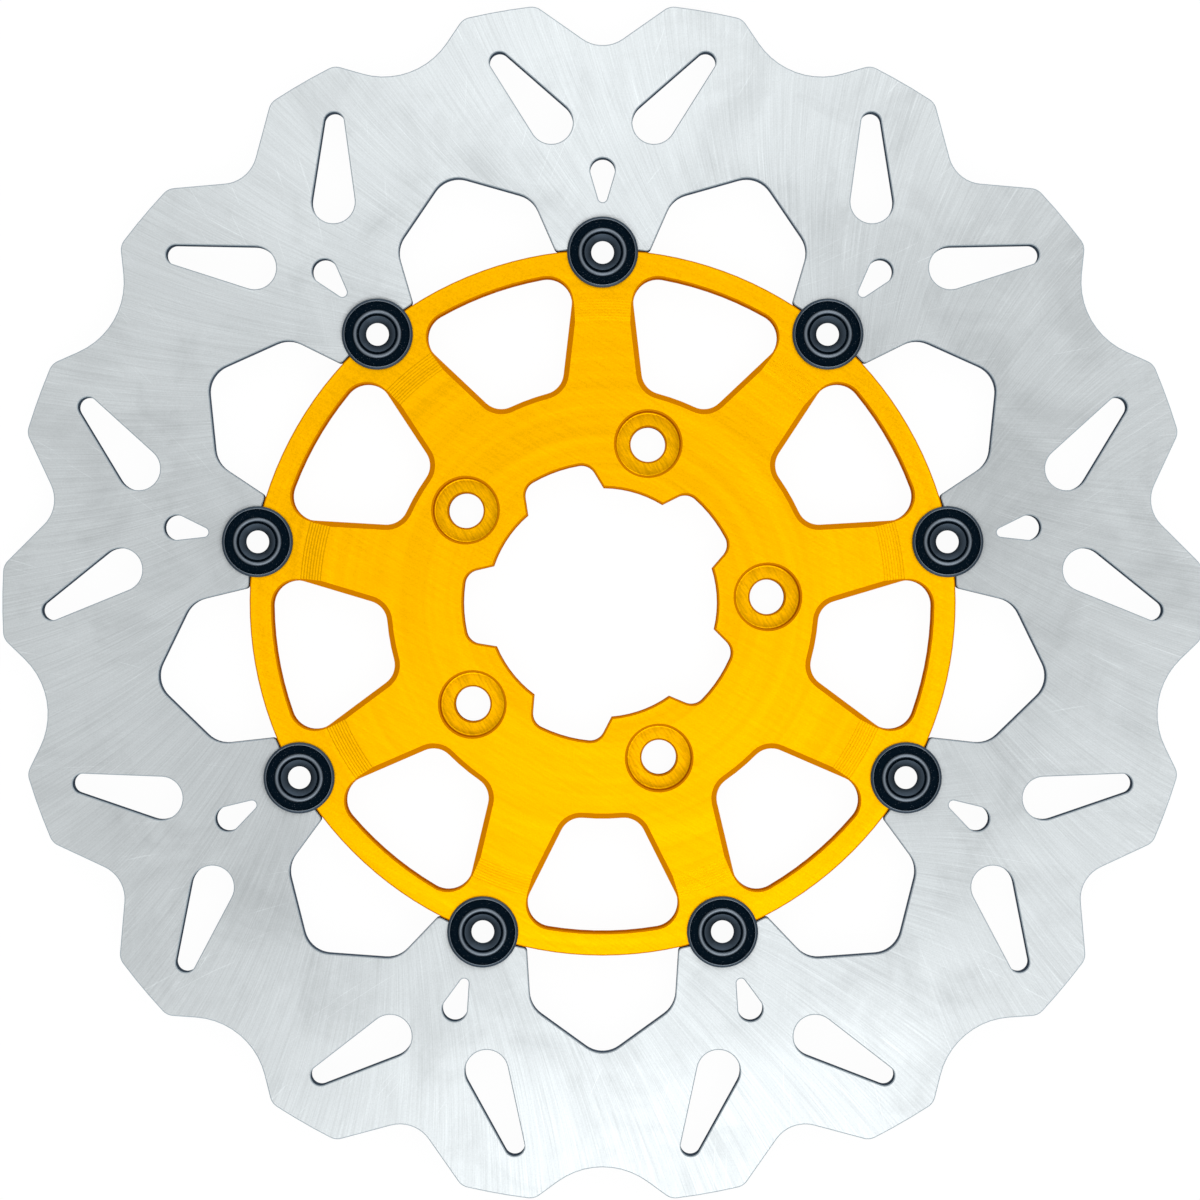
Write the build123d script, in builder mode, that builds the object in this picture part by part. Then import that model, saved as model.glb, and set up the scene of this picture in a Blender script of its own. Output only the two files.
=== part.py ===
from build123d import *
import os
from math import asin, cos, degrees, hypot, radians, sin, tan

# Full-floating brake rotor, lying with its front (bolt head) side up. The origin is the
# centre of the hub's mounting face, +Z is the wheel axis, and the first disc tab points
# along +Y. Sizes are in millimetres, angles in degrees, clockwise from +Y where named so.

os.makedirs("parts", exist_ok=True)

# ---------------------------------------------------------------- driving dimensions
station_count = 9

# steel disc
disc_radius = 150.0
disc_thickness = 5.0
disc_edge_break = 0.25
brake_band_width = 37.2
tooth_corner_radius = 4.0
tab_valley_depth = 10.7
tab_valley_round = 8.8
tab_valley_flank = 35.0
gap_valley_depth = 8.9
gap_valley_round = 19.0
gap_valley_flank = 36.0

# disc tabs, and the bays between them
tab_tip_half_width = 11.7
tab_root_half_width = 17.6
tab_length = 14.2
tab_corner_radius = 1.2
bay_depth = 24.3
bay_round = 7.0

# slots set in from the rim, and drops set out from the tab tips
slot_outer_inset = 12.4
slot_outer_angle = 10.8
slot_outer_radius = 2.5
slot_inner_inset = 29.3
slot_inner_angle = 6.1
slot_inner_radius = 5.4
drop_outer_offset = 19.6
drop_outer_radius = 3.1
drop_inner_offset = 12.7
drop_inner_radius = 1.15

# aluminium carrier
carrier_edge_break = 0.3
mounting_boss_height = 1.8
front_step = 0.95
ramp_inset = 12.0
ramp_step_count = 8
ramp_step_width = 0.71
ramp_step_riser = 0.3

# carrier windows and spokes
ring_width = 5.7
spoke_root_half_width = 10.2
spoke_tip_half_width = 6.8
window_inner_round = 5.5
window_outer_round = 6.2
window_edge_break = 0.4

# hub bore with its relief pockets, and the bolt holes
bore_radius = 28.8
bore_edge_break = 0.4
pocket_count = 5
pocket_depth = 6.1
pocket_mouth_angle = 20.5
pocket_corner_angle = 14.5
pocket_round = 3.8
bolt_count = 5
bolt_circle_diameter = 82.55
bolt_first_angle = 16.0
bolt_hole_radius = 4.365
bolt_hole_edge_break = 0.42
bolt_flange = 5.2
counterbore_radius = 8.13
counterbore_edge_break = 0.47
counterbore_floor_round = 0.5
counterbore_wall = 4.6
boss_margin = 1.6

# floating bobbins
bobbin_inset = 0.7
shank_radius = 6.9
shank_bore_radius = 4.2
throat_radius = 2.83
throat_land = 0.35
shank_end = 0.4
shank_end_break = 0.4
shank_end_land = 0.7
groove_depth = 0.6
groove_width = 1.1
head_overhang = 1.97
head_thickness = 1.25
lip_width = 1.0
lip_crest_inset = 0.62
lip_outer_drop = 0.45
lip_inner_drop = 0.3
dish_depth = 0.55
bead_width = 1.17
bead_groove_width = 0.43
bead_groove_depth = 0.8
cone_width = 1.62
cone_depth = 1.6
cone_drop = 0.15
cone_edge_break = 0.1

# what holds a bobbin from behind
retaining_ring_thickness = 1.0
retaining_ring_width = 1.3
retaining_ring_gap = 52.0
lug_radius = 0.9
lug_spread = 6.0
lug_hole_radius = 0.4
flat_washer_thickness = 0.7
spring_thickness = 0.3
spring_height = 0.75
washer_rim = 1.3

# fits and clearances
running_clearance = 0.1
disc_float = 0.2
tab_clearance = 0.3
face_clearance = 0.05
washer_clearance = 0.15
washer_seat_clearance = 0.3
groove_clearance = 0.03
overshoot = 1.1

# ---------------------------------------------------------------- sizes that follow
station_pitch = 360 / station_count
half_pitch = station_pitch / 2
tab_tip_radius = disc_radius - brake_band_width - bay_depth
carrier_radius = tab_tip_radius - tab_clearance
bobbin_circle = carrier_radius - bobbin_inset
notch_radius = shank_radius + running_clearance
groove_radius = shank_radius - groove_depth
washer_radius = shank_radius + washer_rim
washer_seat_radius = washer_radius + washer_seat_clearance
head_radius = shank_radius + head_overhang
window_outer_radius = carrier_radius - ring_width
ramp_outer_radius = carrier_radius - ramp_inset
pocket_radius = bore_radius + pocket_depth
bolt_circle_radius = bolt_circle_diameter / 2
mounting_boss_radius = bolt_circle_radius + counterbore_radius + boss_margin
window_inner_radius = bolt_circle_radius + counterbore_radius + counterbore_wall

# heights above the mounting face, from the retaining rings up to the heads
ring_seat = shank_end + shank_end_land
flat_washer_seat = ring_seat + retaining_ring_thickness
spring_seat = flat_washer_seat + flat_washer_thickness
washer_seat = spring_seat + spring_height + face_clearance
disc_rear = washer_seat + disc_float
disc_front = disc_rear + disc_thickness
ring_front = disc_front + disc_float
hub_front = ring_front + front_step
head_seat = ring_front + face_clearance
head_top = head_seat + head_thickness


def polar(radius, angle):
    """Point at a radius and an angle measured clockwise from +Y."""
    return (radius * sin(radians(angle)), radius * cos(radians(angle)))


def radius_of(shape):
    """Distance from the wheel axis to a vertex, or to the middle of an edge."""
    point = shape if isinstance(shape, Vertex) else shape @ 0.5
    return hypot(point.X, point.Y)


def flank_point(radius, half_width):
    """Point on the flank of a tab or spoke, with the gap beside it turned to +Y."""
    return Vector(*polar(radius, half_pitch - degrees(asin(half_width / radius))))


def mirrored(points):
    """Right-hand points of an outline, then the same on the left in reverse order."""
    return [*points, *[Vector(-point.X, point.Y) for point in reversed(points)]]


# ---------------------------------------------------------------- brake disc
def valley(depth, round_radius, flank_angle):
    """V notch in the rim with a rounded bottom, symmetric about +Y."""
    flank = radians(flank_angle)
    tip_height = disc_radius - depth - round_radius * (1 / cos(flank) - 1)
    rise = overshoot * (disc_radius - tip_height)
    run = rise / tan(flank)
    with BuildSketch() as notch:
        with BuildLine():
            Polyline((-run, tip_height + rise), (0, tip_height), (run, tip_height + rise), close=True)
        make_face()
        fillet(notch.vertices().sort_by(Axis.Y)[0], round_radius)
    return notch.sketch


def tapered_hole(first_point, first_radius, second_point, second_radius):
    """Outline of two circles joined by their common tangents."""
    with BuildSketch() as hole:
        with Locations(first_point):
            Circle(first_radius)
        with Locations(second_point):
            Circle(second_radius)
        make_hull()
    return hole.sketch


with BuildSketch() as bay:
    shoulder = flank_point(tab_tip_radius + tab_length, tab_root_half_width)
    mouth = flank_point(tab_tip_radius, tab_tip_half_width)
    foot = shoulder + (mouth - shoulder) * overshoot
    apex_radius = tab_tip_radius + bay_depth
    apex_rise = bay_round * (hypot(1, (apex_radius - shoulder.Y) / shoulder.X) - 1)
    with BuildLine():
        Polyline((0, apex_radius + apex_rise), *mirrored([shoulder, foot]), close=True)
    make_face()
    fillet(bay.vertices().sort_by(Axis.Y)[2:], bay_round)

with BuildPart() as brake_disc:
    with BuildSketch(Plane.XY.offset(disc_rear)) as disc_face:
        Circle(disc_radius)
        with PolarLocations(0, station_count):
            add(valley(tab_valley_depth, tab_valley_round, tab_valley_flank), mode=Mode.SUBTRACT)
        with PolarLocations(0, station_count, half_pitch):
            add(valley(gap_valley_depth, gap_valley_round, gap_valley_flank), mode=Mode.SUBTRACT)
        tooth_corners = disc_face.vertices().filter_by(lambda v: radius_of(v) > disc_radius - 0.01)
        fillet(tooth_corners, tooth_corner_radius)
        Circle(tab_tip_radius, mode=Mode.SUBTRACT)
        with PolarLocations(0, station_count, half_pitch):
            add(bay.sketch, mode=Mode.SUBTRACT)
        tab_corners = disc_face.vertices().filter_by(lambda v: radius_of(v) < tab_tip_radius + 0.01)
        fillet(tab_corners, tab_corner_radius)
        with PolarLocations(bobbin_circle, station_count, 90):
            Circle(notch_radius, mode=Mode.SUBTRACT)
        for hand in (-1, 1):
            slot = tapered_hole(
                polar(disc_radius - slot_inner_inset, hand * slot_inner_angle),
                slot_inner_radius,
                polar(disc_radius - slot_outer_inset, hand * slot_outer_angle),
                slot_outer_radius,
            )
            with PolarLocations(0, station_count):
                add(slot, mode=Mode.SUBTRACT)
        drop = tapered_hole(
            (0, tab_tip_radius + drop_inner_offset),
            drop_inner_radius,
            (0, tab_tip_radius + drop_outer_offset),
            drop_outer_radius,
        )
        with PolarLocations(0, station_count):
            add(drop, mode=Mode.SUBTRACT)
    extrude(amount=disc_thickness)
    rims = brake_disc.edges().group_by(Axis.Z)
    chamfer(rims[0] + rims[-1], disc_edge_break)
brake_disc.part.label = "brake_disc"
export_step(brake_disc.part, "parts/brake_disc.step")

# ---------------------------------------------------------------- carrier
with BuildSketch() as window:
    spoke_tip = flank_point(window_outer_radius, spoke_tip_half_width)
    spoke_root = flank_point(window_inner_radius, spoke_root_half_width)
    beyond_tip = spoke_root + (spoke_tip - spoke_root) * overshoot
    beyond_root = spoke_tip + (spoke_root - spoke_tip) * overshoot
    with BuildLine():
        Polyline((0, overshoot * window_outer_radius), *mirrored([beyond_tip, beyond_root]), close=True)
    make_face()
    Circle(window_outer_radius, mode=Mode.INTERSECT)
    Circle(window_inner_radius, mode=Mode.SUBTRACT)
    fillet(window.vertices().sort_by(radius_of)[-2:], window_outer_round)
    fillet(window.vertices().sort_by(radius_of)[:2], window_inner_round)

with BuildSketch() as pocket:
    with BuildLine():
        Polyline(
            polar(bore_radius, -pocket_mouth_angle),
            polar(pocket_radius, -pocket_corner_angle),
            polar(overshoot * pocket_radius, 0),
            polar(pocket_radius, pocket_corner_angle),
            polar(bore_radius, pocket_mouth_angle),
            (0, 0),
            close=True,
        )
    make_face()
    Circle(pocket_radius, mode=Mode.INTERSECT)
    pocket_corners = pocket.vertices().filter_by(lambda v: radius_of(v) > pocket_radius - 0.01)
    fillet(pocket_corners, pocket_round)

ramp_steps = []
for step in range(ramp_step_count):
    tread_end = ramp_outer_radius - (step + 1) * ramp_step_width
    height = ring_front + front_step * step / ramp_step_count
    ramp_steps.append((tread_end + ramp_step_riser, height))
    ramp_steps.append((tread_end, height + front_step / ramp_step_count))

with BuildPart() as carrier:
    with BuildSketch(Plane.XZ) as turned_blank:
        with BuildLine():
            Polyline(
                (0, 0),
                (mounting_boss_radius, 0),
                (mounting_boss_radius + mounting_boss_height, mounting_boss_height),
                (carrier_radius - carrier_edge_break, mounting_boss_height),
                (carrier_radius, mounting_boss_height + carrier_edge_break),
                (carrier_radius, ring_front - carrier_edge_break),
                (carrier_radius - carrier_edge_break, ring_front),
                *ramp_steps,
                (0, hub_front),
                close=True,
            )
        make_face()
    revolve(axis=Axis.Z)
    with BuildSketch() as bore:
        Circle(bore_radius)
        with PolarLocations(0, pocket_count, -bolt_first_angle - 180 / pocket_count):
            add(pocket.sketch)
    extrude(amount=hub_front, mode=Mode.SUBTRACT)
    bore_edges = carrier.edges().filter_by(lambda e: radius_of(e) < pocket_radius + 0.01)
    bore_rims = bore_edges.group_by(Axis.Z)
    chamfer(bore_rims[0] + bore_rims[-1], bore_edge_break)
    with BuildSketch() as windows:
        with PolarLocations(0, station_count, half_pitch):
            add(window.sketch)
    extrude(amount=hub_front, mode=Mode.SUBTRACT)
    with BuildSketch(Plane.XY.offset(ring_front - window_edge_break)) as front_bevels:
        with PolarLocations(0, station_count, half_pitch):
            add(window.sketch)
    extrude(amount=front_step + 2 * window_edge_break, taper=-45, mode=Mode.SUBTRACT)
    with BuildSketch(Plane.XY.offset(mounting_boss_height + window_edge_break)) as rear_bevels:
        with PolarLocations(0, station_count, half_pitch):
            add(window.sketch)
    extrude(amount=-2 * window_edge_break, taper=-45, mode=Mode.SUBTRACT)
    with BuildSketch() as notches:
        with PolarLocations(bobbin_circle, station_count, 90):
            Circle(notch_radius)
    extrude(amount=hub_front, mode=Mode.SUBTRACT)
    with BuildSketch() as washer_recesses:
        with PolarLocations(bobbin_circle, station_count, 90):
            Circle(washer_seat_radius)
    extrude(amount=washer_seat, mode=Mode.SUBTRACT)
    with BuildSketch() as bolt_holes:
        with PolarLocations(bolt_circle_radius, bolt_count, 90 - bolt_first_angle):
            Circle(bolt_hole_radius)
    extrude(amount=hub_front, mode=Mode.SUBTRACT)
    with BuildSketch(Plane.XY.offset(bolt_flange)) as counterbores:
        with PolarLocations(bolt_circle_radius, bolt_count, 90 - bolt_first_angle):
            Circle(counterbore_radius)
    extrude(amount=hub_front - bolt_flange, mode=Mode.SUBTRACT)
    circles = carrier.edges().filter_by(GeomType.CIRCLE)
    chamfer(circles.filter_by(lambda e: abs(e.radius - bolt_hole_radius) < 0.001), bolt_hole_edge_break)
    circles = carrier.edges().filter_by(GeomType.CIRCLE)
    counterbore_rims = circles.filter_by(lambda e: abs(e.radius - counterbore_radius) < 0.001)
    chamfer(counterbore_rims.group_by(Axis.Z)[-1], counterbore_edge_break)
    fillet(counterbore_rims.group_by(Axis.Z)[0], counterbore_floor_round)
carrier.part.label = "carrier"
export_step(carrier.part, "parts/carrier.step")


# ---------------------------------------------------------------- pieces at each station
def seat_planes(angle):
    """A station on the bobbin circle: its flat plane and its radial section plane."""
    x, y = polar(bobbin_circle, angle)
    outward = Vector(*polar(1, angle), 0)
    flat = Plane(origin=(x, y, 0), x_dir=outward, z_dir=(0, 0, 1))
    section = Plane(origin=(x, y, 0), x_dir=outward, z_dir=outward.cross(Vector(0, 0, 1)))
    return flat, section


def turned_bobbin(section):
    """Black button: dished head with a bead and a countersunk throat, on a hollow grooved shank."""
    lip_inner_radius = head_radius - lip_width
    lip_crest_radius = head_radius - lip_crest_inset
    cone_radius = throat_radius + cone_width
    bead_inner_radius = cone_radius + cone_edge_break + bead_groove_width
    bead_outer_radius = bead_inner_radius + bead_width
    bead_middle_radius = (bead_inner_radius + bead_outer_radius) / 2
    dish = head_top - dish_depth
    bead_groove = head_top - bead_groove_depth
    cone_top = head_top - cone_drop
    throat = cone_top - cone_depth
    groove_top = ring_seat + groove_width
    with BuildPart() as bobbin:
        with BuildSketch(section):
            with BuildLine():
                Polyline(
                    (bead_inner_radius, dish),
                    (bead_inner_radius, bead_groove),
                    (cone_radius + cone_edge_break, bead_groove),
                    (cone_radius + cone_edge_break, cone_top - cone_edge_break),
                    (cone_radius, cone_top),
                    (throat_radius, throat),
                    (throat_radius, throat - throat_land),
                    (shank_bore_radius, throat - throat_land),
                    (shank_bore_radius, shank_end),
                    (shank_radius - shank_end_break, shank_end),
                    (shank_radius, shank_end + shank_end_break),
                    (shank_radius, ring_seat),
                    (groove_radius, ring_seat),
                    (groove_radius, groove_top),
                    (shank_radius, groove_top),
                    (shank_radius, head_seat),
                    (head_radius, head_seat),
                    (head_radius, head_top - lip_outer_drop),
                    (lip_crest_radius, head_top),
                    (lip_inner_radius, head_top - lip_inner_drop),
                    (lip_inner_radius, dish),
                    (bead_outer_radius, dish),
                )
                ThreePointArc(
                    (bead_outer_radius, dish), (bead_middle_radius, head_top), (bead_inner_radius, dish)
                )
            make_face()
        revolve(axis=Axis(section.origin, (0, 0, 1)))
    return bobbin.part


def spring_washer(flat, section):
    """Bowed spring washer: a ring cut from an arched strip."""
    reach = overshoot * washer_radius
    bow = spring_height - spring_thickness
    with BuildPart() as washer:
        with BuildSketch(section):
            with BuildLine():
                under = ThreePointArc((-reach, spring_seat), (0, spring_seat + bow), (reach, spring_seat))
                over = ThreePointArc(
                    (-reach, spring_seat + spring_thickness),
                    (0, spring_seat + spring_height),
                    (reach, spring_seat + spring_thickness),
                )
                Line(under @ 0, over @ 0)
                Line(under @ 1, over @ 1)
            make_face()
        extrude(amount=reach, both=True)
        with BuildSketch(flat):
            Circle(washer_radius)
            Circle(shank_radius + washer_clearance, mode=Mode.SUBTRACT)
        extrude(amount=head_seat, mode=Mode.INTERSECT)
    return washer.part


def flat_washer(flat):
    """Plain washer between the retaining ring and the spring washer."""
    with BuildPart() as washer:
        with BuildSketch(flat.offset(flat_washer_seat)):
            Circle(washer_radius)
            Circle(shank_radius + washer_clearance, mode=Mode.SUBTRACT)
        extrude(amount=flat_washer_thickness)
    return washer.part


def retaining_ring(flat):
    """Open ring in the shank's groove, with a drilled lug on each side of its gap."""
    inner = groove_radius + groove_clearance
    outer = inner + retaining_ring_width
    half_gap = retaining_ring_gap / 2
    lugs = [polar(inner + lug_radius, 90 + hand * (half_gap + lug_spread)) for hand in (-1, 1)]
    with BuildPart() as ring:
        with BuildSketch(flat.offset(ring_seat)):
            Circle(outer)
            with BuildLine():
                Polyline((0, 0), polar(2 * outer, 90 - half_gap), polar(2 * outer, 90 + half_gap), close=True)
            make_face(mode=Mode.SUBTRACT)
            with Locations(*lugs):
                Circle(lug_radius)
            with Locations(*lugs):
                Circle(lug_hole_radius, mode=Mode.SUBTRACT)
            Circle(inner, mode=Mode.SUBTRACT)
        extrude(amount=retaining_ring_thickness)
    return ring.part


for number in range(1, station_count + 1):
    flat, section = seat_planes((number - 1) * station_pitch)
    pieces = {
        "bobbin": turned_bobbin(section),
        "spring_washer": spring_washer(flat, section),
        "flat_washer": flat_washer(flat),
        "retaining_ring": retaining_ring(flat),
    }
    for kind, piece in pieces.items():
        piece.label = f"{kind}_{number}"
        export_step(piece, f"parts/{piece.label}.step")
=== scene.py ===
"""Full-floating brake disc rotor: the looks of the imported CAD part.

The steel disc, the gold carrier and the small steel pieces behind it keep their CAD
shapes and get their finishes here. The nine bobbins are turned again, with softer edges.
"""

import math

import bmesh
import bpy
from mathutils import Matrix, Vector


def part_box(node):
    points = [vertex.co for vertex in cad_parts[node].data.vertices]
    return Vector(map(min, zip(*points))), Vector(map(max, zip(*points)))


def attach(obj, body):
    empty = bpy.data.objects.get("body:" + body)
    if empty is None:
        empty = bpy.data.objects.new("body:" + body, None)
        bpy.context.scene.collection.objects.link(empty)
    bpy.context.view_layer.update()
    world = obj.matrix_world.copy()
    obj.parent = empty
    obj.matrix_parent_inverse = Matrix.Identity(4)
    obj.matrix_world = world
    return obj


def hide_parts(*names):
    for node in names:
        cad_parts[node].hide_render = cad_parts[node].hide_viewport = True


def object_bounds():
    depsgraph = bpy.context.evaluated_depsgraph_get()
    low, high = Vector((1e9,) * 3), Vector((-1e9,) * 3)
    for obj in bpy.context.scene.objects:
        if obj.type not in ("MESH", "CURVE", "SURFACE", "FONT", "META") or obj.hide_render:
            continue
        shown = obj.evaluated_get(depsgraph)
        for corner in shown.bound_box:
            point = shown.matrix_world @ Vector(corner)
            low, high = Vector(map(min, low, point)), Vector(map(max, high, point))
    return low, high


bl_info = {
    "name": "Floating Brake Rotor",
    "version": (1, 0, 0),
    "blender": (4, 5, 0),
    "location": "3D View > Sidebar > Rotor",
    "description": "Finishes a slotted steel disc on a gold anodised carrier with black bobbins",
    "category": "Object",
}

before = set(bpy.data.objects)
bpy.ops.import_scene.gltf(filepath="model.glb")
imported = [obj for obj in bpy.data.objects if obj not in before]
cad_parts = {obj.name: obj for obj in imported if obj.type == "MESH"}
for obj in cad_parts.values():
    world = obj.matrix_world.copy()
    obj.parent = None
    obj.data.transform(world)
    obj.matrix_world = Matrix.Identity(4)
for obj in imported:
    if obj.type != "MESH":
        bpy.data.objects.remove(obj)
CAD_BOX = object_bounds()

MM = 0.001
STATIONS = 9

# The grinding wheel stands beside the disc: its radius, and its axis's distance from the
# disc's. Each width of its lines holds at the middle of the brake band.
WHEEL_RADIUS = 226 * MM
WHEEL_AXIS = 294 * MM
BAND_RADIUS = 130 * MM
LINE_LENGTH = 20 * MM
SCRATCH_LENGTH = 14 * MM
SCRATCH_GLINT = 0.12

# The second set of lines shows round this azimuth, clockwise from +Y. The patches move its
# border, over which its share of the lines grows.
SECOND_PASS = math.radians(100)
PATCH_PULL = 2.0
SECOND_BORDER = (1.65, 1.95)
SECOND_SHARE = (0.12, 0.85)

# Lean of the steel's gloss from straight outwards, and how far it strays between patches.
SHEEN_ANGLE = math.radians(6)
SHEEN_SPREAD = math.radians(4)

# The steel is duller on the tabs. The dullness fades out between these radii.
TAB_DULLNESS = 0.08
TAB_RADII = (112 * MM, 124 * MM)

# Sizes of the patterns. Real grit and plating crystals are hundredths of a millimetre, too
# fine to show, so the speckle, the plating and the flecks are drawn as coarse as this.
SPECKLE = 0.3846 * MM
PLATING = 0.5556 * MM
FLECK = 0.25 * MM
SMUDGE = 22.22 * MM
GRAIN = (11.11 * MM, 0.6667 * MM)
GRAIN_SLANT = math.radians(30)
RING_SPACINGS = (2.4 * MM, 9 * MM)
RING_WAVER = 71.43 * MM
PASS_WIDTHS = (7 * MM, 11 * MM)

# Coarser marks on the carrier's low faces. They fade out between these heights.
BRUSH_MARKS = (4 * MM, 0.5263 * MM)
BRUSH_SLANT = math.radians(58)
LOW_FACES = (6.5 * MM, 7.5 * MM)

# Nearly all of a noise's values lie between these two.
NOISE = (0.3, 0.7)

# Steepness, from 0 on a level face to 1 on an upright one, over which each look sets in:
# the painted shade of the edge breaks, the walls and the ramps' slope, and the oxide that
# covers the bare metal.
STEEL_EDGE_SHADE = (0.05, 0.2)
STEEL_WALL_SHADE = (0.3, 0.5)
GOLD_EDGE_SHADE = (0.1, 0.22)
GOLD_WALL_SHADE = (0.35, 0.6)
GOLD_RAMP_SHADE = (0.02, 0.06)
OXIDE = (0.15, 0.28)
OXIDE_ROUGHNESS = 0.9

# Roughness at the low and the high end of each finish's own pattern.
STEEL_ROUGHNESS = (0.44, 0.37)
GOLD_ROUGHNESS = (0.34, 0.42)
BLACK_ROUGHNESS = (0.3, 0.38)

# The turned bobbins. A painted highlight runs along a line inside the lip's crest, given by
# its inset and half its width. On the bead the painted highlight fades out between two
# distances from its middle. The matt faces are told apart by where they lie, with this margin.
TURNING = "turning"
BEAD_STEPS = 12
TURNED_STEPS = 96
SHARP_TURN = math.radians(25)
LIP_HIGHLIGHT = (0.12 * MM, 0.16 * MM)
BEAD_HIGHLIGHT = (0.05 * MM, 0.4 * MM)
FACE_MARGIN = 0.05 * MM

# The studio. The camera stands a little off the wheel axis. A lamp is seen from the rotor
# at an azimuth clockwise from +Y and a tilt from +Z, both in degrees, at a distance. Its
# last two values are its sides and the name of its power in the settings.
SENSOR_WIDTH = 36
CAMERA_PLACE = (-0.65 * MM, 0.65 * MM)
FLOOR_GAP = 0.2 * MM
FLOOR_HALF = 1.5
FLOOR_GLOW = 0.96
LAMPS = {
    "front_softbox": (172, 30, 1.6, (1.0, 1.0), "front_light"),
    "rear_softbox": (14, 38, 1.6, (1.0, 0.7), "rear_light"),
    "strip": (112, 36, 0.8, (0.3, 0.3), "strip_light"),
    "side_strip": (60, 38, 0.9, (0.5, 0.4), "side_light"),
    "low_front_bar": (185, 72, 1.2, (2.0, 0.7), "low_light"),
    "low_rear_bar": (5, 72, 1.2, (2.0, 0.7), "low_light"),
}


def linear(hex_colour):
    """sRGB hex value to a linear RGBA colour."""
    channels = [int(hex_colour[i : i + 2], 16) / 255 for i in (0, 2, 4)]
    lit = [c / 12.92 if c <= 0.04045 else ((c + 0.055) / 1.055) ** 2.4 for c in channels]
    return (*lit, 1.0)


def colour_property(name, description, hex_colour):
    """A colour that the sidebar can change."""
    return bpy.props.FloatVectorProperty(
        name=name, description=description, default=linear(hex_colour), size=4, min=0, max=1,
        subtype="COLOR",
    )


def length_property(name, description, millimetres):
    """A length that the sidebar can change, given here in millimetres."""
    return bpy.props.FloatProperty(
        name=name, description=description, default=millimetres * MM, min=0, subtype="DISTANCE",
        unit="LENGTH",
    )


def power_property(name, description, watts):
    """A lamp's power that the sidebar can change."""
    return bpy.props.FloatProperty(name=name, description=description, default=watts, min=0, unit="POWER")


# ------------------------------------------------------------------------- settings
class RotorFinishSettings(bpy.types.PropertyGroup):
    """Colours and grain sizes of the rotor's finishes."""

    steel: colour_property("Steel", "Ground stainless steel of the disc", "BFC4C6")
    # The next two colours are painted shade on the disc's edge breaks and cut walls.
    steel_edge_shade: colour_property("Steel edge", "Small edge breaks of the disc", "8F999F")
    steel_wall_shade: colour_property("Steel wall", "Cut walls of the disc's openings and rim", "45515E")
    steel_grain: length_property("Grinding grain", "Width of the grinding lines", 0.3)
    steel_patch: length_property("Grinding patch", "Width of patches where one set of arcs leads", 70)
    scratch_width: length_property("Scratch width", "Width of the odd long scratch", 0.35)
    gold: colour_property("Gold", "Anodised aluminium of the carrier", "E6A600")
    # The next two colours are painted shade on the carrier's chamfers and cut walls.
    gold_edge_shade: colour_property("Gold edge", "Chamfers of the carrier", "B87000")
    gold_wall_shade: colour_property("Gold wall", "Cut walls of the carrier's openings", "A65800")
    black: colour_property("Black", "Turned and anodised faces of the bobbins", "38424C")
    # This colour is a painted highlight along the lip's crest and on top of the bead.
    crest: colour_property("Crest highlight", "Painted highlight on the bobbins' lip and bead", "6C747C")
    recess: colour_property("Recess", "Matt dished floors of the bobbins", "000A14")
    fleck: colour_property("Fleck", "Bright specks in the dished floors", "6A737C")
    turning_mark: length_property("Turning mark", "Spacing of the tool's rings on a bobbin", 0.25)
    spring: colour_property("Spring steel", "Bowed spring washers", "A9ADB0")
    zinc: colour_property("Zinc", "Zinc-plated flat washers", "C4C8CA")
    phosphate: colour_property("Phosphate", "Dark retaining rings", "3A3B3C")


class RotorBobbinSettings(bpy.types.PropertyGroup):
    """Sizes of a bobbin's turned profile."""

    shank_radius: length_property("Shank radius", "Radius of the shank that runs in the notches", 6.9)
    groove_radius: length_property("Ring groove", "Radius at the bottom of the ring's groove", 6.3)
    bore_radius: length_property("Shank bore", "Radius of the lightening bore from behind", 4.2)
    throat_radius: length_property("Throat", "Radius of the hole at the foot of the cone", 2.83)
    cone_radius: length_property("Cone", "Radius of the cone's mouth", 4.45)
    bead_radius: length_property("Bead", "Radius of the middle of the rounded bead", 5.565)
    bead_width: length_property("Bead width", "Width of the rounded bead at its foot", 1.17)
    crest_radius: length_property("Lip crest", "Radius of the highest line of the lip", 8.27)
    head_thickness: length_property("Head thickness", "Height of the head above its seat", 1.25)
    head_slope: length_property("Head slope", "Fall of the head's outer slope", 0.42)
    crest_width: length_property("Lip width", "Width of the lip's inner slope", 0.4)
    crest_drop: length_property("Lip drop", "Fall of the lip's inner slope", 0.3)
    dish_depth: length_property("Dish depth", "Depth of the dished floor below the lip", 0.55)
    slot_width: length_property("Slot width", "Width of the thin wall between the cone and the slot", 0.1)
    slot_depth: length_property("Slot depth", "Depth of the slot round the cone", 0.8)
    cone_drop: length_property("Cone drop", "Depth of the cone's mouth below the lip", 0.15)
    throat_depth: length_property("Throat depth", "Depth of the cone's foot below the lip", 1.75)
    throat_land: length_property("Throat land", "Length of the hole below the cone", 0.35)
    ring_land: length_property("Ring land", "Height of the shank behind the ring groove", 0.7)
    groove_height: length_property("Groove height", "Height of the retaining ring's groove", 1.1)
    foot_chamfer: length_property("Foot chamfer", "Chamfer at the foot of the shank", 0.4)
    edge_round: length_property("Edge round", "Width of the small rounds on the turned edges", 0.12)


class RotorStudioSettings(bpy.types.PropertyGroup):
    """Camera, floor and lamps."""

    camera_distance: length_property("Camera distance", "Camera height above the disc's face", 909)
    view_width: length_property("View width", "Width of the view at the disc's face", 299.8)
    floor: colour_property("Floor", "Plain pale floor", "F4F4F4")
    front_light: power_property("Front light", "Power of the lamp on the -Y side", 7.4)
    rear_light: power_property("Rear light", "Power of the lamp on the +Y side", 3.7)
    strip_light: power_property("Strip light", "Power of the smallest lamp", 0.4)
    side_light: power_property("Side light", "Power of the lamp on the +X side", 0.45)
    low_light: power_property("Low light", "Power of the two lamps near the floor", 2.2)


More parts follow.
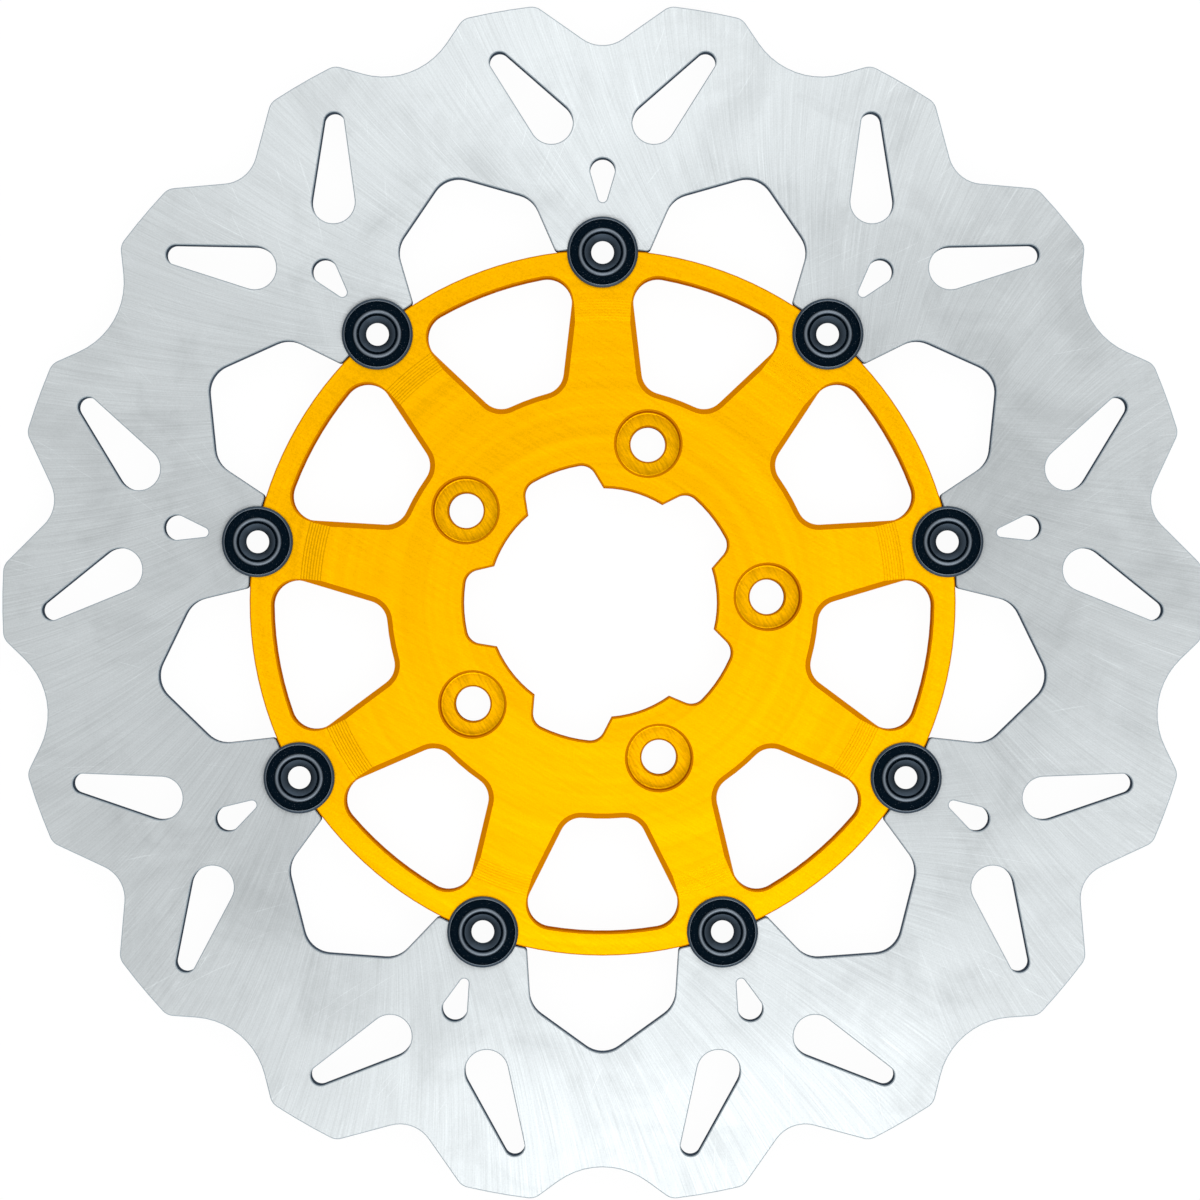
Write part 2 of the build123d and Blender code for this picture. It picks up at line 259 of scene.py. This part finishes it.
# ------------------------------------------------------------------- node and mesh tools
def add(tree, kind, inputs=(), output=0, **settings):
    """Adds a shader node, sets its settings, fills or links its inputs, and returns one output.
    Inputs are a tuple in the sockets' order, or a dictionary by socket name or number."""
    node = tree.nodes.new("ShaderNode" + kind)
    for name, value in settings.items():
        setattr(node, name, value)
    if not isinstance(inputs, dict):
        inputs = dict(enumerate(inputs))
    for socket, value in inputs.items():
        if isinstance(value, bpy.types.NodeSocket):
            tree.links.new(value, node.inputs[socket])
        else:
            node.inputs[socket].default_value = value
    return node.outputs[output] if len(node.outputs) else node


def new_material(name, shader_values):
    """A material with one Principled shader, its tree and that shader's node."""
    material = bpy.data.materials.new(name)
    material.use_nodes = True
    shader = material.node_tree.nodes["Principled BSDF"]
    for socket, value in shader_values.items():
        shader.inputs[socket].default_value = value
    return material, material.node_tree, shader


def dress(node_name, material):
    """Puts a finish on a CAD node."""
    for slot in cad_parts[node_name].material_slots:
        slot.material = material


# ---------------------------------------------------------------------------- finishes
def steepness(tree):
    """0 on a face square to the wheel axis, 1 on a wall along it."""
    normal = add(tree, "TexCoord", output=1)
    upward = add(tree, "SeparateXYZ", (normal,), output=2)
    size = add(tree, "Math", (upward,), operation="ABSOLUTE")
    return add(tree, "Math", (1.0, size), operation="SUBTRACT")


def grinding_lines(tree, flat, radius, hand, width, length, **noise):
    """Arcs of a grinding wheel that stands beside the disc: noise that is fine across the
    arcs and long along them. The two sides of its rim cut arcs of opposite hands, 1 and -1."""
    reach = (WHEEL_AXIS**2 - WHEEL_RADIUS**2) / (2 * WHEEL_AXIS)
    near = add(tree, "Math", (reach, radius), operation="DIVIDE")
    cosine = add(tree, "Math", (radius, 1 / (2 * WHEEL_AXIS), near), operation="MULTIPLY_ADD")
    swing = add(tree, "Math", (cosine,), operation="ARCCOSINE")
    sweep = add(tree, "Math", (swing, hand), operation="MULTIPLY")
    swung = add(tree, "VectorRotate", {"Vector": flat, "Angle": sweep}, rotation_type="Z_AXIS")
    unit = add(tree, "VectorMath", (swung,), operation="NORMALIZE")
    across = add(tree, "VectorMath", {0: unit, "Scale": BAND_RADIUS / width}, operation="SCALE")
    along = add(tree, "Math", (radius, 1 / length), operation="MULTIPLY")
    lift = add(tree, "CombineXYZ", {"Z": along})
    spot = add(tree, "VectorMath", (across, lift), operation="ADD")
    return add(tree, "TexNoise", {"Vector": spot, "Scale": 1.0, **noise})


def cut_walls(tree, shader, steep, rough):
    """Walls along the wheel axis are left as cut: dull, with an oxide skin over the metal."""
    metal = add(tree, "MapRange", (steep, *OXIDE, 1.0, 0.0))
    roughness = add(tree, "Mix", {0: metal, 2: OXIDE_ROUGHNESS, 3: rough}, data_type="FLOAT")
    tree.links.new(metal, shader.inputs["Metallic"])
    tree.links.new(roughness, shader.inputs["Roughness"])


def face_and_walls(tree, steep, face, edge, wall):
    """A face's colour, which turns to the edge's and then the wall's as the surface steepens:
    painted shade on the steep faces.
    Edge and wall are each a colour and the steepness over which it sets in."""
    edge_shade, edge_steepness = edge
    wall_shade, wall_steepness = wall
    wall_shade_mask = add(tree, "MapRange", (steep, *wall_steepness, 0.0, 1.0))
    cut = add(tree, "Mix", {0: wall_shade_mask, 6: edge_shade, 7: wall_shade}, output=2, data_type="RGBA")
    shade_mask = add(tree, "MapRange", (steep, *edge_steepness, 0.0, 1.0))
    return add(tree, "Mix", {0: shade_mask, 6: face, 7: cut}, output=2, data_type="RGBA")


def ground_steel(finish):
    """Martensitic stainless disc steel, surface ground: bright satin. The wheel leaves fine
    arcs that lean one way, crossed by a second set on one side, and a few longer scratches.
    Faint smudges lie over them. The walls are as cut, under an oxide skin; their dark slate
    and the edge breaks' darker grey are painted shade."""
    material, tree, shader = new_material(
        "ground_stainless_steel", {"Anisotropic": 0.87, "Specular IOR Level": 0.0}
    )
    place = add(tree, "TexCoord", output=3)
    flat = add(tree, "VectorMath", (place, (1, 1, 0)), operation="MULTIPLY")
    radius = add(tree, "VectorMath", (flat,), output=1, operation="LENGTH")

    # The two sets of arcs, and the scratches along both.
    line_noise = {"Detail": 1.0, "Roughness": 0.6}
    first, second = [
        grinding_lines(tree, flat, radius, hand, finish.steel_grain, LINE_LENGTH, **line_noise)
        for hand in (-1, 1)
    ]
    patch_noise = {"Scale": 1 / finish.steel_patch, "Detail": 2.0, "Distortion": 0.8}
    patch = add(tree, "TexNoise", {"Vector": place, **patch_noise})
    outward = add(tree, "VectorMath", (flat,), operation="NORMALIZE")
    towards = (math.sin(SECOND_PASS), math.cos(SECOND_PASS), 0)
    side = add(tree, "VectorMath", (outward, towards), output=1, operation="DOT_PRODUCT")
    spread = add(tree, "Math", (patch, PATCH_PULL, side), operation="MULTIPLY_ADD")
    share = add(tree, "MapRange", (spread, *SECOND_BORDER, *SECOND_SHARE))
    lines = add(tree, "Mix", {0: share, 2: first, 3: second}, data_type="FLOAT")
    scratches = []
    for hand in (-1, 1):
        line = grinding_lines(tree, flat, radius, hand, finish.scratch_width, SCRATCH_LENGTH, Detail=0.0)
        scratches.append(add(tree, "MapRange", (line, 0.78, 0.83, 0.0, 1.0)))
    scratch = add(tree, "Math", scratches, operation="MAXIMUM")

    # Brightness of the ground face.
    smudge_noise = {"Scale": 1 / SMUDGE, "Detail": 6.0, "Roughness": 0.62, "Distortion": 0.6}
    smudges = add(tree, "TexNoise", {"Vector": place, **smudge_noise})
    dirt = add(tree, "MapRange", (smudges, 0.32, 0.52, 0.88, 1.0))
    grit = add(tree, "TexNoise", {"Vector": place, "Scale": 1 / SPECKLE, "Detail": 1.0})
    speckle = add(tree, "MapRange", (grit, *NOISE, 0.96, 1.04))
    tone = add(tree, "MapRange", (lines, *NOISE, 0.93, 1.07))
    value = add(tree, "Math", (tone, dirt), operation="MULTIPLY")
    value = add(tree, "Math", (value, speckle), operation="MULTIPLY")
    value = add(tree, "Math", (scratch, SCRATCH_GLINT, value), operation="MULTIPLY_ADD")
    face = add(tree, "VectorMath", {0: finish.steel[:3], "Scale": value}, operation="SCALE")
    steep = steepness(tree)
    # The edge breaks' and the walls' colours are painted shade.
    edge = (finish.steel_edge_shade, STEEL_EDGE_SHADE)
    wall = (finish.steel_wall_shade, STEEL_WALL_SHADE)
    colour = face_and_walls(tree, steep, face, edge, wall)

    # Gloss: duller on the tabs, smoother on the bright lines, and stretched nearly outwards.
    duller = add(tree, "MapRange", (radius, *TAB_RADII, TAB_DULLNESS, 0.0))
    rough = add(tree, "MapRange", (lines, *NOISE, *STEEL_ROUGHNESS))
    cut_walls(tree, shader, steep, add(tree, "Math", (rough, duller), operation="ADD"))
    height = add(tree, "Math", (lines, scratch), operation="SUBTRACT")
    bump = add(tree, "Bump", {"Strength": 0.15, "Distance": 0.03 * MM, "Height": height})
    stray = add(tree, "MapRange", (patch, 0.4, 0.6, -SHEEN_SPREAD, SHEEN_SPREAD))
    angle = add(tree, "Math", (stray, SHEEN_ANGLE), operation="SUBTRACT")
    stretch = add(tree, "VectorRotate", {"Vector": flat, "Angle": angle}, rotation_type="Z_AXIS")
    tree.links.new(colour, shader.inputs["Base Color"])
    tree.links.new(bump, shader.inputs["Normal"])
    tree.links.new(stretch, shader.inputs["Tangent"])
    return material


def slanting_noise(tree, flat, slant, size, detail, roughness):
    """Noise drawn out along one slanting direction: size is its length and its width."""
    slanted = add(tree, "VectorRotate", {"Vector": flat, "Angle": slant}, rotation_type="Z_AXIS")
    length, width = size
    stretched = add(tree, "VectorMath", (slanted, (1 / length, 1 / width, 0)), operation="MULTIPLY")
    inputs = {"Vector": stretched, "Scale": 1.0, "Detail": detail, "Roughness": roughness}
    return add(tree, "TexNoise", inputs)


def gold_anodised(finish):
    """Machined aluminium, anodised gold: a clear dyed oxide over a turned and milled face.
    The edge breaks and walls are a deeper orange, and the ramps' slope darker, as painted
    shade. The cutter leaves faint rings, wider facing passes and a fine slanting grain, and
    coarser marks on the low faces: the counterbores' floors and the rear."""
    material, tree, shader = new_material("gold_anodised_aluminium", {"Specular IOR Level": 0.0})
    place = add(tree, "TexCoord", output=3)
    flat = add(tree, "VectorMath", (place, (1, 1, 0)), operation="MULTIPLY")
    radius = add(tree, "VectorMath", (flat,), output=1, operation="LENGTH")
    speckle_noise = {"Scale": 1 / SPECKLE, "Detail": 2.0, "Roughness": 0.7}
    speckle = add(tree, "TexNoise", {"Vector": place, **speckle_noise})
    grain = slanting_noise(tree, flat, GRAIN_SLANT, GRAIN, 3.0, 0.65)
    waver = add(tree, "VectorMath", {0: place, "Scale": 1 / RING_WAVER}, operation="SCALE")
    circles = []
    for spacing in RING_SPACINGS:
        ring_place = add(tree, "Math", (radius, 1 / spacing), operation="MULTIPLY")
        ring_lift = add(tree, "CombineXYZ", {"Z": ring_place})
        ring_spot = add(tree, "VectorMath", (waver, ring_lift), operation="ADD")
        circles.append(add(tree, "TexNoise", {"Vector": ring_spot, "Scale": 1.0, "Detail": 2.0}))
    rings, sweeps = circles
    passes = []
    for width in PASS_WIDTHS:
        pass_edge = add(tree, "Math", (radius, width), operation="SNAP")
        passes.append(add(tree, "TexWhiteNoise", {"W": pass_edge}, noise_dimensions="1D"))
    height = add(tree, "SeparateXYZ", (place,), output=2)
    low_face = add(tree, "MapRange", (height, *LOW_FACES, 1.0, 0.0))
    brushed = slanting_noise(tree, flat, BRUSH_SLANT, BRUSH_MARKS, 1.0, 0.5)
    darker = add(tree, "MapRange", (brushed, 0.35, 0.6, 0.2, 0.0))
    marks = add(tree, "Math", (darker, low_face), operation="MULTIPLY")

    # Brightness of the faces: each pattern's own span scales the dye's colour by a little. The
    # last, darker on the ramps' slope, is painted shade.
    steep = steepness(tree)
    value = add(tree, "MapRange", (speckle, *NOISE, 0.92, 1.08))
    for pattern, start, end, first, last in (
        (grain, *NOISE, 0.93, 1.07),
        (rings, *NOISE, 0.94, 1.06),
        (sweeps, 0.35, 0.65, 0.97, 1.03),
        (passes[0], 0.0, 1.0, 0.97, 1.03),
        (passes[1], 0.0, 1.0, 0.98, 1.02),
        (marks, 0.0, 1.0, 1.0, 0.0),
        # Painted shade: darker on the ramps' slope.
        (steep, *GOLD_RAMP_SHADE, 1.0, 0.84),
    ):
        share = add(tree, "MapRange", (pattern, start, end, first, last))
        value = add(tree, "Math", (value, share), operation="MULTIPLY")
    face = add(tree, "VectorMath", {0: finish.gold[:3], "Scale": value}, operation="SCALE")
    # The chamfers' and the walls' colours are painted shade.
    edge = (finish.gold_edge_shade, GOLD_EDGE_SHADE)
    wall = (finish.gold_wall_shade, GOLD_WALL_SHADE)
    colour = face_and_walls(tree, steep, face, edge, wall)
    cut_walls(tree, shader, steep, add(tree, "MapRange", (speckle, *NOISE, *GOLD_ROUGHNESS)))
    relief = add(tree, "Math", (grain, rings), operation="ADD")
    bump = add(tree, "Bump", {"Strength": 0.2, "Distance": 0.03 * MM, "Height": relief})
    tree.links.new(colour, shader.inputs["Base Color"])
    tree.links.new(bump, shader.inputs["Normal"])
    return material


def black_turned(finish, size):
    """Turned aluminium, hard anodised black: the tool's rings stretch each highlight out
    from the bobbin's axis, so it is bright towards the lamps and dark beside them. A lighter
    grey along the lip's crest and on top of the bead is a painted highlight."""
    material, tree, shader = new_material("black_anodised_turned", {"Metallic": 1.0, "Anisotropic": 0.8})
    outward = add(tree, "Attribute", output=1, attribute_name=TURNING)
    radius = add(tree, "VectorMath", (outward,), output=1, operation="LENGTH")
    spread = add(tree, "Math", (radius, 1 / finish.turning_mark), operation="MULTIPLY")
    ring_spot = add(tree, "CombineXYZ", {"X": spread})
    rings = add(tree, "TexNoise", {"Vector": ring_spot, "Scale": 1.0, "Detail": 2.0})
    bump = add(tree, "Bump", {"Strength": 0.2, "Distance": 0.02 * MM, "Height": rings})
    # A painted highlight: the lighter grey along the lip's crest and on top of the bead.
    inset, half_width = LIP_HIGHLIGHT
    lip = add(tree, "Math", (radius, size.crest_radius - inset, half_width), operation="COMPARE")
    from_bead = add(tree, "Math", (radius, size.bead_radius), operation="SUBTRACT")
    off_bead = add(tree, "Math", (from_bead,), operation="ABSOLUTE")
    bead_highlight_mask = add(tree, "MapRange", (off_bead, *BEAD_HIGHLIGHT, 1.0, 0.0))
    painted_highlight = add(tree, "Math", (lip, bead_highlight_mask), operation="MAXIMUM")
    colour = add(tree, "Mix", {0: painted_highlight, 6: finish.black, 7: finish.crest}, output=2, data_type="RGBA")
    tree.links.new(colour, shader.inputs["Base Color"])
    tree.links.new(outward, shader.inputs["Tangent"])
    rough = add(tree, "MapRange", (rings, *NOISE, *BLACK_ROUGHNESS))
    tree.links.new(rough, shader.inputs["Roughness"])
    tree.links.new(bump, shader.inputs["Normal"])
    return material


def black_recess(finish):
    """The dished floor and the groove, where the black oxide stays as grown: matt, with
    the odd bright fleck."""
    material, tree, shader = new_material(
        "black_anodised_matt", {"Specular IOR Level": 0.02, "Roughness": 0.6}
    )
    place = add(tree, "TexCoord", output=3)
    flecks = add(tree, "TexNoise", {"Vector": place, "Scale": 1 / FLECK, "Detail": 0.0})
    fleck = add(tree, "MapRange", (flecks, 0.74, 0.8, 0.0, 0.3))
    colour = add(tree, "Mix", {0: fleck, 6: finish.recess, 7: finish.fleck}, output=2, data_type="RGBA")
    tree.links.new(colour, shader.inputs["Base Color"])
    return material


def bright_steel(name, colour, roughness):
    """Rolled or plated steel of the small pieces behind the carrier: a fine even grain."""
    material, tree, shader = new_material(name, {"Metallic": 1.0})
    place = add(tree, "TexCoord", output=3)
    grain = add(tree, "TexNoise", {"Vector": place, "Scale": 1 / PLATING, "Detail": 3.0})
    tone = add(tree, "MapRange", (grain, *NOISE, 0.9, 1.05))
    shade = add(tree, "VectorMath", {0: colour[:3], "Scale": tone}, operation="SCALE")
    rough = add(tree, "MapRange", (grain, *NOISE, roughness - 0.06, roughness + 0.08))
    tree.links.new(shade, shader.inputs["Base Color"])
    tree.links.new(rough, shader.inputs["Roughness"])
    return material


# --------------------------------------------------------------------------- operators
class ROTOR_OT_disc(bpy.types.Operator):
    """Finish the slotted steel disc"""

    bl_idname = "rotor.disc"
    bl_label = "Steel Disc"

    def execute(self, context):
        dress("brake_disc", ground_steel(context.scene.rotor_finish))
        return {"FINISHED"}


class ROTOR_OT_carrier(bpy.types.Operator):
    """Finish the gold carrier"""

    bl_idname = "rotor.carrier"
    bl_label = "Gold Carrier"

    def execute(self, context):
        dress("carrier", gold_anodised(context.scene.rotor_finish))
        return {"FINISHED"}


class ROTOR_OT_bobbins(bpy.types.Operator):
    """Turn and finish the nine bobbins"""

    bl_idname = "rotor.bobbins"
    bl_label = "Black Bobbins"

    def execute(self, context):
        finish = context.scene.rotor_finish
        size = context.scene.rotor_bobbin
        finishes = (black_turned(finish, size), black_recess(finish))
        for number in range(1, STATIONS + 1):
            low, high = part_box(f"bobbin_{number}")
            piece = self.turn(f"button_{number}", size, low, high)
            for material in finishes:
                piece.data.materials.append(material)
            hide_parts(f"bobbin_{number}")
            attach(piece, f"bobbin_turn_{number}")
        return {"FINISHED"}

    def outline(self, size, head_radius, foot, top):
        """Half section as (radius, height) points, from the bore's foot up, over and down."""
        throat = top - size.throat_depth
        throat_end = throat - size.throat_land
        mouth = top - size.cone_drop
        slot_radius = size.cone_radius + size.slot_width
        slot_floor = top - size.slot_depth
        dish = top - size.dish_depth
        crest_foot = size.crest_radius - size.crest_width
        seat = top - size.head_thickness
        land = foot + size.ring_land
        groove_top = land + size.groove_height
        half_bead = size.bead_width / 2
        turns = [math.pi * step / BEAD_STEPS for step in range(BEAD_STEPS + 1)]
        bead = [
            (size.bead_radius - half_bead * math.cos(turn), dish + size.dish_depth * math.sin(turn))
            for turn in turns
        ]
        return [
            (size.bore_radius, foot),
            (size.bore_radius, throat_end),
            (size.throat_radius, throat_end),
            (size.throat_radius, throat),
            (size.cone_radius, mouth),
            (slot_radius, mouth - size.slot_width),
            (slot_radius, slot_floor),
            (size.bead_radius - half_bead, slot_floor),
            *bead,
            (crest_foot, dish),
            (crest_foot, top - size.crest_drop),
            (size.crest_radius, top),
            (head_radius, top - size.head_slope),
            (head_radius, seat),
            (size.shank_radius, seat),
            (size.shank_radius, groove_top),
            (size.groove_radius, groove_top),
            (size.groove_radius, land),
            (size.shank_radius, land),
            (size.shank_radius, foot + size.foot_chamfer),
            (size.shank_radius - size.foot_chamfer, foot),
        ]

    def turn(self, name, size, low, high):
        """Spins the half section about the bobbin's own axis and rounds its edges."""
        centre = (low + high) / 2
        centre.z = 0
        shape = bmesh.new()
        points = self.outline(size, high.x - centre.x, low.z, high.z)
        corners = [shape.verts.new((centre.x + radius, centre.y, height)) for radius, height in points]
        edges = [shape.edges.new(pair) for pair in zip(corners, corners[1:] + corners[:1])]
        full = {"cent": centre, "axis": (0, 0, 1), "dvec": (0, 0, 0), "angle": 2 * math.pi}
        bmesh.ops.spin(shape, geom=corners + edges, steps=TURNED_STEPS, use_merge=True, **full)
        bmesh.ops.recalc_face_normals(shape, faces=shape.faces)
        sharp = [edge for edge in shape.edges if edge.calc_face_angle(0) > SHARP_TURN]
        bmesh.ops.bevel(
            shape, geom=sharp, offset=size.edge_round, offset_type="OFFSET", segments=2, affect="EDGES",
            profile=0.5, material=-1, clamp_overlap=True,
        )
        self.finish_faces(shape, size, centre, high.z)
        mesh = bpy.data.meshes.new(name)
        shape.to_mesh(mesh)
        shape.free()
        piece = bpy.data.objects.new(name, mesh)
        bpy.context.scene.collection.objects.link(piece)
        return piece

    def finish_faces(self, shape, size, centre, top):
        """Sets the matt faces apart, and gives each point its direction from the axis."""
        half_bead = size.bead_width / 2
        matt = (
            (size.cone_radius + FACE_MARGIN, size.bead_radius - half_bead + FACE_MARGIN),
            (size.bead_radius + half_bead - FACE_MARGIN, size.crest_radius - 2 * FACE_MARGIN),
        )
        for face in shape.faces:
            face.smooth = True
            middle = face.calc_center_median()
            radius = (middle - centre).xy.length
            head = middle.z > top - size.head_thickness + 2 * FACE_MARGIN
            face.material_index = int(head and any(low < radius < high for low, high in matt))
        layer = shape.verts.layers.float_vector.new(TURNING)
        for vert in shape.verts:
            outward = vert.co - centre
            vert[layer] = (outward.x, outward.y, 0)


class ROTOR_OT_fasteners(bpy.types.Operator):
    """Finish the washers and retaining rings behind the carrier"""

    bl_idname = "rotor.fasteners"
    bl_label = "Washers and Rings"

    def execute(self, context):
        finish = context.scene.rotor_finish
        finishes = {
            "spring_washer": bright_steel("spring_steel", finish.spring, 0.3),
            "flat_washer": bright_steel("zinc_plated_steel", finish.zinc, 0.35),
            "retaining_ring": bright_steel("phosphated_steel", finish.phosphate, 0.5),
        }
        for kind, material in finishes.items():
            for number in range(1, STATIONS + 1):
                dress(f"{kind}_{number}", material)
        return {"FINISHED"}


class ROTOR_OT_studio(bpy.types.Operator):
    """Set up the camera, the pale floor and the soft light"""

    bl_idname = "rotor.studio"
    bl_label = "Studio"

    def execute(self, context):
        studio = context.scene.rotor_studio
        scene = context.scene
        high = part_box("brake_disc")[1]
        lens = bpy.data.cameras.new("camera")
        lens.sensor_width = SENSOR_WIDTH
        lens.lens = SENSOR_WIDTH * studio.camera_distance / studio.view_width
        lens.clip_end = 10
        camera = bpy.data.objects.new("camera", lens)
        camera.location = (*CAMERA_PLACE, high.z + studio.camera_distance)
        scene.collection.objects.link(camera)
        scene.camera = camera
        scene.view_settings.view_transform = "Standard"
        self.floor(studio)
        self.world(scene)
        for name, (azimuth, tilt, distance, size, power) in LAMPS.items():
            self.lamp(name, azimuth, tilt, distance, size, getattr(studio, power))
        return {"FINISHED"}

    def lamp(self, name, azimuth, tilt, distance, size, power):
        """A soft lamp that faces the rotor."""
        light = bpy.data.lights.new(name, "AREA")
        light.shape = "RECTANGLE"
        light.size, light.size_y = size
        light.energy = power
        lamp = bpy.data.objects.new(name, light)
        swing = Matrix.Rotation(math.radians(-azimuth), 4, "Z")
        lean = Matrix.Rotation(math.radians(-tilt), 4, "X")
        lamp.matrix_world = swing @ lean @ Matrix.Translation((0, 0, distance))
        bpy.context.scene.collection.objects.link(lamp)

    def floor(self, studio):
        """A plain pale floor. What the camera and metal see of it glows white, apart from the
        small share that takes the rotor's shadow."""
        shape = bmesh.new()
        bmesh.ops.create_grid(shape, x_segments=1, y_segments=1, size=FLOOR_HALF)
        mesh = bpy.data.meshes.new("floor")
        shape.to_mesh(mesh)
        shape.free()
        floor = bpy.data.objects.new("floor", mesh)
        floor.location.z = CAD_BOX[0][2] - FLOOR_GAP
        bpy.context.scene.collection.objects.link(floor)
        material = bpy.data.materials.new("pale_floor")
        material.use_nodes = True
        tree = material.node_tree
        tree.nodes.clear()
        seen = add(tree, "LightPath", output=0)
        glossy = add(tree, "LightPath", output=3)
        either = add(tree, "Math", {0: seen, 1: glossy}, operation="MAXIMUM")
        share = add(tree, "Math", {0: either, 1: FLOOR_GLOW}, operation="MULTIPLY")
        matt = add(tree, "BsdfDiffuse", {"Color": studio.floor})
        lit = add(tree, "Emission", {"Color": (1, 1, 1, 1), "Strength": 1.0})
        mixed = add(tree, "MixShader", {0: share, 1: matt, 2: lit})
        add(tree, "OutputMaterial", {"Surface": mixed})
        mesh.materials.append(material)

    def world(self, scene):
        """Even white light from all round."""
        world = bpy.data.worlds.new("studio")
        world.use_nodes = True
        tree = world.node_tree
        tree.nodes.clear()
        glow = add(tree, "Background", {"Color": (1, 1, 1, 1), "Strength": 1.0})
        add(tree, "OutputWorld", {"Surface": glow})
        scene.world = world


class ROTOR_PT_panel(bpy.types.Panel):
    """Lists the rotor's steps"""

    bl_label = "Floating Brake Rotor"
    bl_space_type = "VIEW_3D"
    bl_region_type = "UI"
    bl_category = "Rotor"

    def draw(self, context):
        for operator in OPERATORS:
            self.layout.operator(operator.bl_idname)
        for group in ("rotor_finish", "rotor_bobbin", "rotor_studio"):
            settings = getattr(context.scene, group)
            box = self.layout.box()
            for name in settings.__annotations__:
                box.prop(settings, name)


SETTINGS = {
    "rotor_finish": RotorFinishSettings,
    "rotor_bobbin": RotorBobbinSettings,
    "rotor_studio": RotorStudioSettings,
}
OPERATORS = (ROTOR_OT_studio, ROTOR_OT_disc, ROTOR_OT_carrier, ROTOR_OT_bobbins, ROTOR_OT_fasteners)
CLASSES = (*SETTINGS.values(), *OPERATORS, ROTOR_PT_panel)


def register():
    """Adds the settings, the operators and the panel to Blender."""
    for cls in CLASSES:
        bpy.utils.register_class(cls)
    for name, group in SETTINGS.items():
        setattr(bpy.types.Scene, name, bpy.props.PointerProperty(type=group))


def unregister():
    """Takes them out again."""
    for name in SETTINGS:
        delattr(bpy.types.Scene, name)
    for cls in reversed(CLASSES):
        bpy.utils.unregister_class(cls)


def main():
    """Runs every step."""
    register()
    bpy.ops.rotor.studio()
    bpy.ops.rotor.disc()
    bpy.ops.rotor.carrier()
    bpy.ops.rotor.bobbins()
    bpy.ops.rotor.fasteners()


if __name__ == "__main__":
    main()
